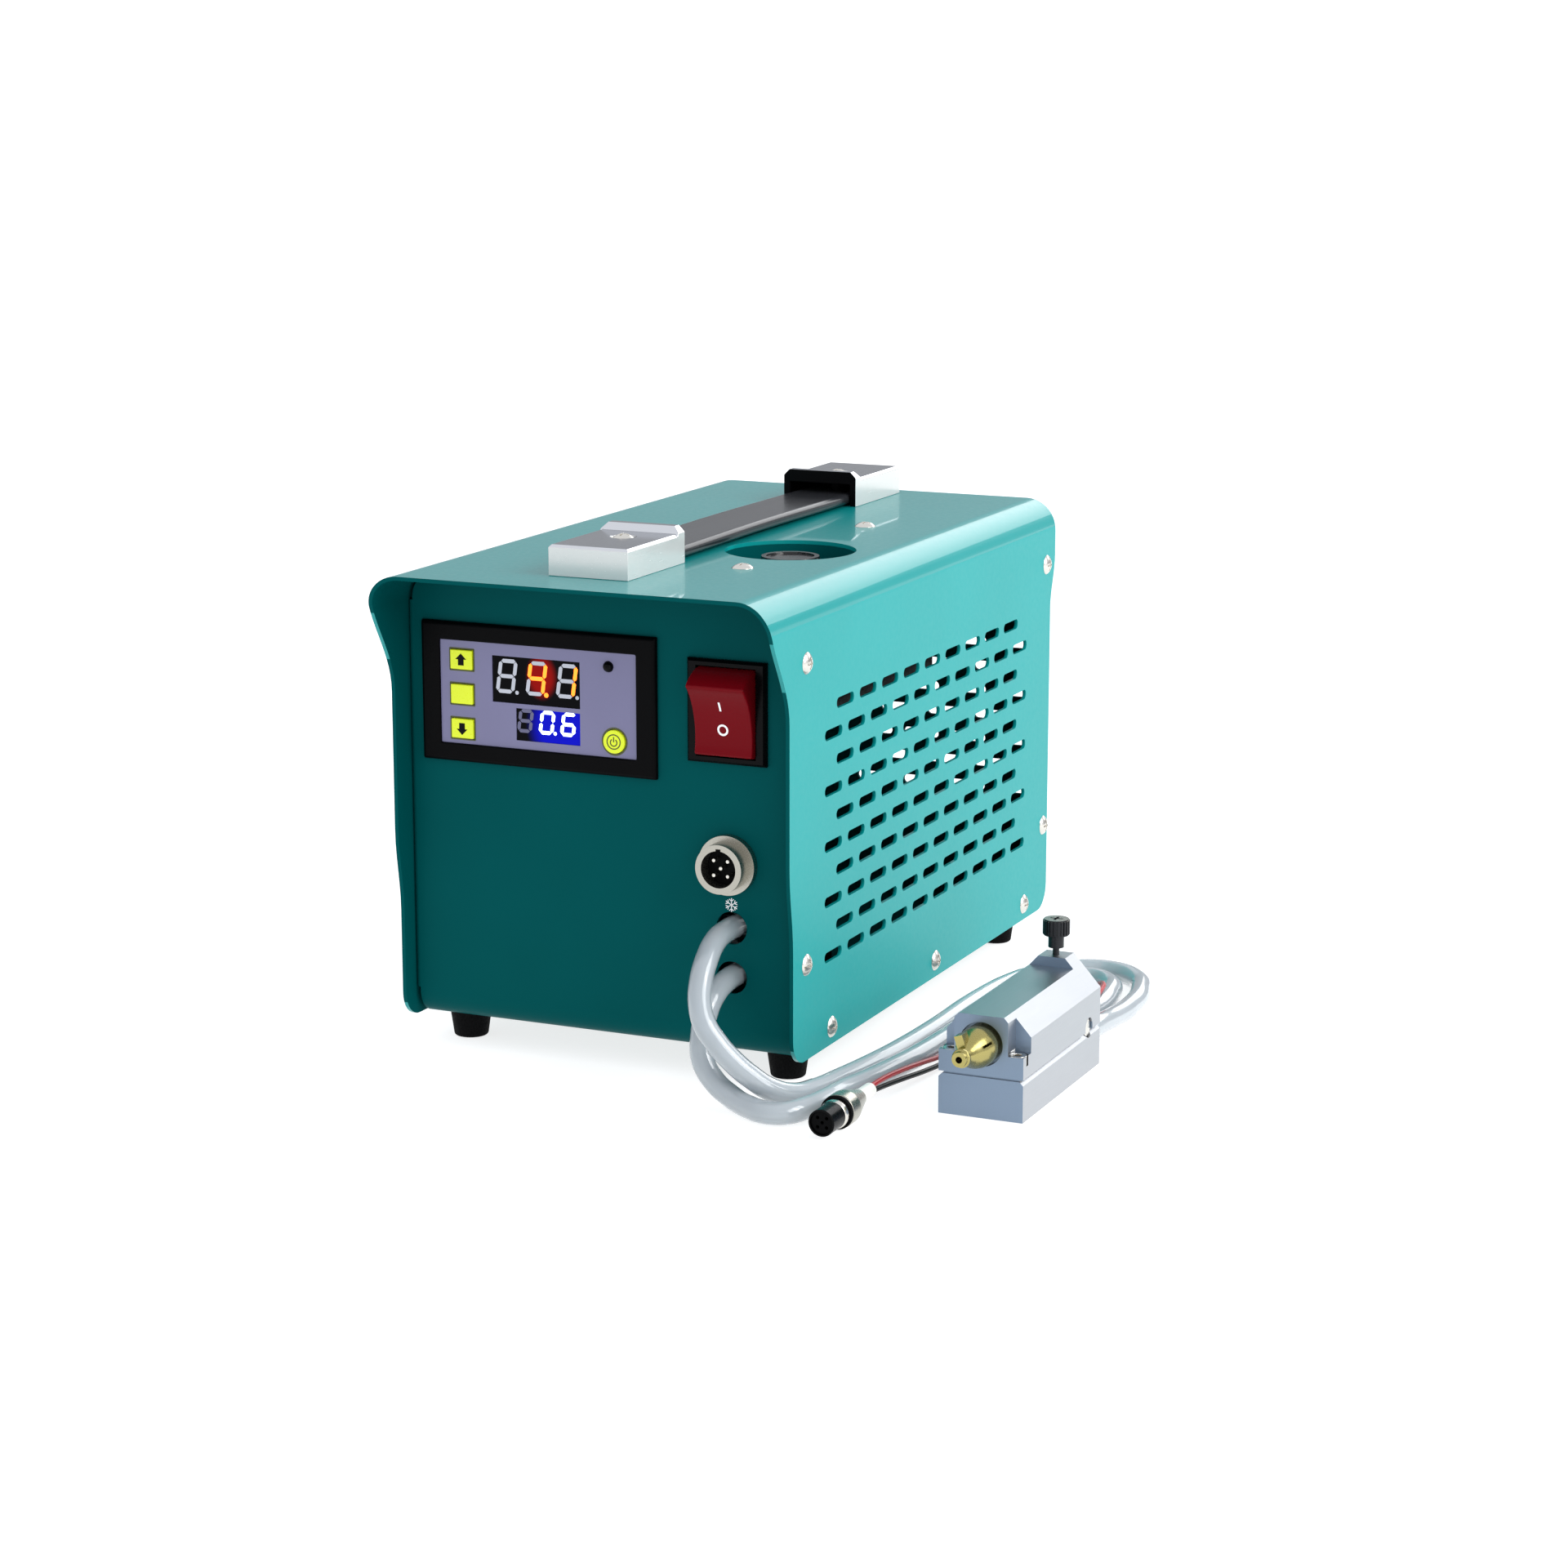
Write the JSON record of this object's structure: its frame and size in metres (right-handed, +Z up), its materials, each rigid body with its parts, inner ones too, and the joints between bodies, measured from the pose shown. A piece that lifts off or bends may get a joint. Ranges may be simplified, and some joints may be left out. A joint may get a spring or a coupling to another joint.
{
  "type": "glue dispenser",
  "caption": "Bench glue dispenser: a sheet-metal cooling unit with thermostat, switch and handle, joined by two hoses and a lead to a small cooled dispensing head with a brass nozzle",
  "frame": {"origin": "under the middle of the box that holds the unit and the head, on the surface that they stand on", "axes": "+Z up, +Y from the front panel to the rear panel, +X to the right seen from the front"},
  "size_m": [0.2036, 0.2518, 0.1623],
  "materials": {
    "cover_paint": "teal powder coat, satin",
    "panel_paint": "dark teal powder coat, satin",
    "chrome_plate": "bright chrome plating",
    "nickel": "nickel plated, bright",
    "foot_rubber": "moulded, matt",
    "black_plastic": "moulded, satin black",
    "strap_vinyl": "soft vinyl, satin grey",
    "tank_plastic": "milky, moulded",
    "red_rubber": "moulded, matt",
    "face_plastic": "printed lilac film, matt",
    "circuit_board": "glass epoxy with solder mask",
    "display_plastic": "dark window, glossy",
    "yellow_plastic": "moulded, bright yellow",
    "led_plastic": "clear, moulded",
    "red_plastic": "moulded, glossy red",
    "brass": "turned, bright",
    "motor_steel": "drawn can",
    "white_plastic": "moulded, white",
    "silicone": "translucent silicone",
    "radiator_paint": "matt black paint",
    "zinc_steel": "zinc plated sheet",
    "anodised_aluminium": "milled and clear anodised",
    "ceramic": "white ceramic plates",
    "black_steel": "blackened, knurled",
    "red_wire": "vinyl insulation, red",
    "black_wire": "vinyl insulation, black"
  },
  "bodies": {
    "root": {"cover_shell": "cover_paint", "chassis": "panel_paint", "cover_screws": "nickel", "rubber_feet": "foot_rubber", "foot_screws": "nickel", "handle_cap_front": "chrome_plate", "handle_cap_rear": "chrome_plate", "handle_screws": "nickel", "filler_well": "cover_paint", "water_tank": "tank_plastic", "tank_lid": "tank_plastic", "controller_bezel": "black_plastic", "controller_face": "face_plastic", "controller_case": "black_plastic", "controller_board": "circuit_board", "led_displays": "display_plastic", "status_led": "led_plastic", "rocker_housing": "black_plastic", "rocker_terminals": "brass", "socket_shell": "nickel", "socket_nut": "nickel", "socket_insert": "black_plastic", "socket_pins": "brass", "pump_body": "black_plastic", "pump_motor": "motor_steel", "inner_hoses": "silicone", "radiator_core": "radiator_paint", "radiator_headers": "radiator_paint", "radiator_stands": "zinc_steel", "fan_frame": "black_plastic", "fan_screws": "nickel", "psu_case": "zinc_steel", "psu_board": "circuit_board", "mains_inlet": "black_plastic", "head_upper_block": "anodised_aluminium", "head_lower_block": "anodised_aluminium", "peltier_module": "ceramic", "head_end_plate": "anodised_aluminium", "nozzle": "brass", "head_screws": "nickel", "hose_barbs": "nickel", "supply_hose": "silicone", "return_hose": "silicone", "lead_red": "red_wire", "lead_black": "black_wire", "plug_shell": "nickel", "plug_insert": "black_plastic"},
    "power_rocker": {"power_rocker": "red_plastic"},
    "key_up": {"key_up": "yellow_plastic"},
    "key_set": {"key_set": "yellow_plastic"},
    "key_down": {"key_down": "yellow_plastic"},
    "key_power": {"key_power": "yellow_plastic"},
    "handle_strap": {"handle_strap": "strap_vinyl"},
    "cap_gasket": {"cap_gasket": "red_rubber"},
    "tank_cap": {"tank_cap": "black_plastic"},
    "fan_rotor": {"fan_rotor": "black_plastic"},
    "pump_impeller": {"pump_impeller": "white_plastic"},
    "clamp_pad": {"clamp_pad": "white_plastic"},
    "thumb_screw": {"thumb_screw": "black_steel"},
    "plug_ring": {"plug_ring": "black_plastic"}
  },
  "joints": [
    {"name": "rocker_tip", "type": "hinge", "parent": "root", "child": "power_rocker", "pos_m": [0.0083, -0.0957, 0.1139], "axis": [-1, 0, 0], "range_deg": [0, 32]},
    {"name": "key_up_press", "type": "slide", "parent": "root", "child": "key_up", "axis": [0, 1, 0], "range_m": [0, 0.0004], "stiffness_N_per_m": 400},
    {"name": "key_set_press", "type": "slide", "parent": "root", "child": "key_set", "axis": [0, 1, 0], "range_m": [0, 0.0004], "stiffness_N_per_m": 400},
    {"name": "key_down_press", "type": "slide", "parent": "root", "child": "key_down", "axis": [0, 1, 0], "range_m": [0, 0.0004], "stiffness_N_per_m": 400},
    {"name": "key_power_press", "type": "slide", "parent": "root", "child": "key_power", "axis": [0, 1, 0], "range_m": [0, 0.0004], "stiffness_N_per_m": 400},
    {"name": "strap_lift", "type": "slide", "parent": "root", "child": "handle_strap", "axis": [0, 0, 1], "range_m": [0, 0.0024]},
    {"name": "cap_rise", "type": "slide", "parent": "root", "child": "cap_gasket", "axis": [0, 0, 1], "range_m": [0, 0.004]},
    {"name": "cap_turn", "type": "hinge", "parent": "cap_gasket", "child": "tank_cap", "pos_m": [-0.0045, -0.0225, 0.145], "axis": [0, 0, 1], "range_deg": [0, 720]},
    {"name": "fan_spin", "type": "hinge", "parent": "root", "child": "fan_rotor", "pos_m": [-0.0743, 0.0295, 0.096], "axis": [1, 0, 0], "continuous": true},
    {"name": "impeller_spin", "type": "hinge", "parent": "root", "child": "pump_impeller", "pos_m": [-0.0063, -0.0405, 0.0465], "axis": [0, 0, 1], "continuous": true},
    {"name": "pad_feed", "type": "slide", "parent": "root", "child": "clamp_pad", "axis": [0, 0, -1], "range_m": [0, 0.0018]},
    {"name": "thumb_turn", "type": "hinge", "parent": "clamp_pad", "child": "thumb_screw", "pos_m": [0.08865, -0.0329, 0.036], "axis": [0, 0, -1], "range_deg": [0, 1440]},
    {"name": "ring_turn", "type": "hinge", "parent": "root", "child": "plug_ring", "pos_m": [0.055, -0.1226, 0.00515], "axis": [0, 1, 0], "continuous": true}
  ],
  "couplings": [
    {"joint": "cap_turn", "follows": "cap_rise", "rad_per_m": 3141.6},
    {"joint": "thumb_turn", "follows": "pad_feed", "rad_per_m": 13963}
  ]
}
